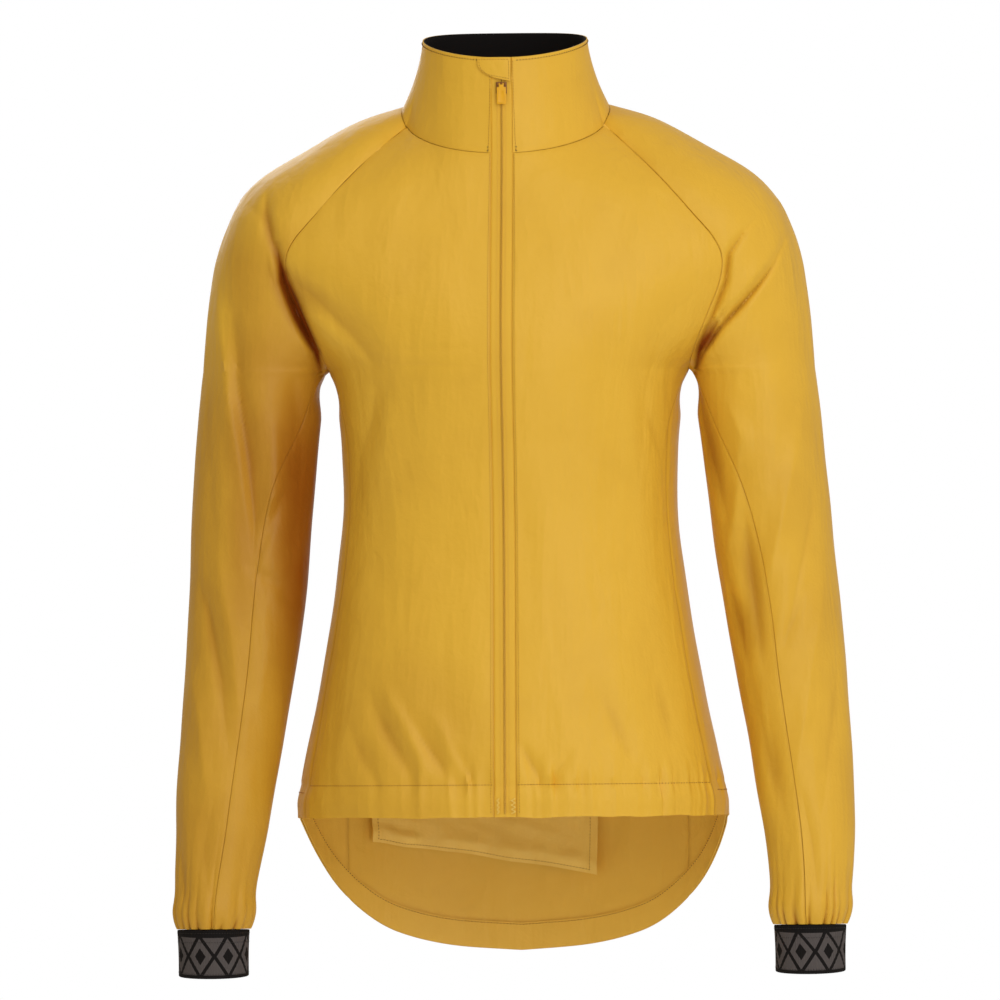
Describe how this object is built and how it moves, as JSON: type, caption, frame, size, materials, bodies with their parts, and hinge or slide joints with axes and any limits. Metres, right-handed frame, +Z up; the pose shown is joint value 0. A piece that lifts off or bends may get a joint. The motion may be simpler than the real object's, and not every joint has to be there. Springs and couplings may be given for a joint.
{
  "type": "windbreaker jacket",
  "caption": "Worn-form yellow raglan windbreaker with stand collar, full front zip, black elastic cuffs and a dropped tail.",
  "frame": {"origin": "middle of the neck opening at the height of the shoulder seams, where the wearer's neck and shoulders hold the jacket", "axes": "+Z up the body, the front faces -Y, and +X is the wearer's left"},
  "size_m": [0.5443, 0.2411, 0.751],
  "materials": {
    "shell": "satin",
    "tape": "matte",
    "lining": "matte",
    "elastic": "matte",
    "zip_plastic": "satin"
  },
  "bodies": {
    "jacket": {"front_left": "shell", "front_right": "shell", "side_left": "shell", "side_right": "shell", "back": "shell", "sleeve_outer_left": "shell", "sleeve_outer_right": "shell", "sleeve_under_left": "shell", "sleeve_under_right": "shell", "collar": "shell", "collar_lining": "lining", "cuff_left": "elastic", "cuff_right": "elastic", "tail_facing": "shell", "back_pocket": "shell", "zip_tape_left": "tape", "zip_tape_right": "tape", "zip_garage": "shell", "zip_slider": "zip_plastic"},
    "pull": {"zip_pull": "zip_plastic"}
  },
  "joints": [
    {"name": "pull_swing", "type": "hinge", "parent": "jacket", "child": "pull", "pos_m": [0, -0.07888, 0.0282], "axis": [-1, 0, 0], "range_deg": [0, 110]}
  ]
}
